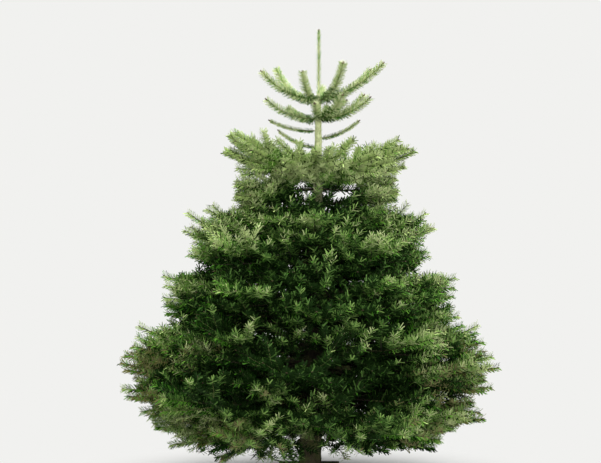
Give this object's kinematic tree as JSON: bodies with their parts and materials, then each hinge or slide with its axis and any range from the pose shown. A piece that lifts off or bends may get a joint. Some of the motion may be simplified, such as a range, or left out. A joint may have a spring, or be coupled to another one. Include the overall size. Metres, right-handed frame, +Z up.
{
  "type": "christmas tree",
  "caption": "Cut, undecorated fir Christmas tree in a half-log foot: a slightly leaning trunk, whorls of boughs with sprays of needles, and an upright leader above rings of single shoots",
  "frame": {"origin": "the middle of the half log's flat underside, on the floor", "axes": "+Z up along the tree, +X to the right and -Y towards the viewer of the picture, with the half log lying along X"},
  "size_m": [1.5069, 1.434, 1.8],
  "materials": {
    "bark": "rough grey-brown bark",
    "half_log": "bark above, sawn wood at the ends and underneath",
    "foliage": "fir needles, glossy green above and paler below"
  },
  "bodies": {
    "root": {"bough_12_1": "bark", "bough_12_2": "bark", "bough_12_3": "bark", "bough_12_4": "bark", "bough_12_5": "bark", "half_log": "half_log", "lone_shoot_1": "foliage", "lone_shoot_2": "foliage", "lone_shoot_3": "foliage", "mass_10_1": "foliage", "mass_10_2": "foliage", "mass_10_3": "foliage", "mass_10_4": "foliage", "mass_11_1": "foliage", "mass_11_2": "foliage", "mass_11_3": "foliage", "mass_11_4": "foliage", "mass_11_5": "foliage", "mass_12_1": "foliage", "mass_12_2": "foliage", "mass_12_3": "foliage", "mass_12_4": "foliage", "mass_12_5": "foliage", "mass_3_1": "foliage", "mass_3_2": "foliage", "mass_3_3": "foliage", "mass_3_4": "foliage", "mass_3_5": "foliage", "mass_3_6": "foliage", "mass_4_1": "foliage", "mass_4_2": "foliage", "mass_4_3": "foliage", "mass_4_4": "foliage", "mass_5_1": "foliage", "mass_5_2": "foliage", "mass_5_3": "foliage", "mass_5_4": "foliage", "mass_5_5": "foliage", "mass_6_1": "foliage", "mass_6_2": "foliage", "mass_6_3": "foliage", "mass_6_4": "foliage", "mass_7_1": "foliage", "mass_7_2": "foliage", "mass_7_3": "foliage", "mass_7_4": "foliage", "mass_7_5": "foliage", "mass_8_1": "foliage", "mass_8_2": "foliage", "mass_8_3": "foliage", "mass_8_4": "foliage", "mass_9_1": "foliage", "mass_9_2": "foliage", "mass_9_3": "foliage", "mass_9_4": "foliage", "mass_9_5": "foliage", "shoots_1": "foliage", "shoots_2": "foliage", "trunk": "bark"}
  },
  "joints": []
}
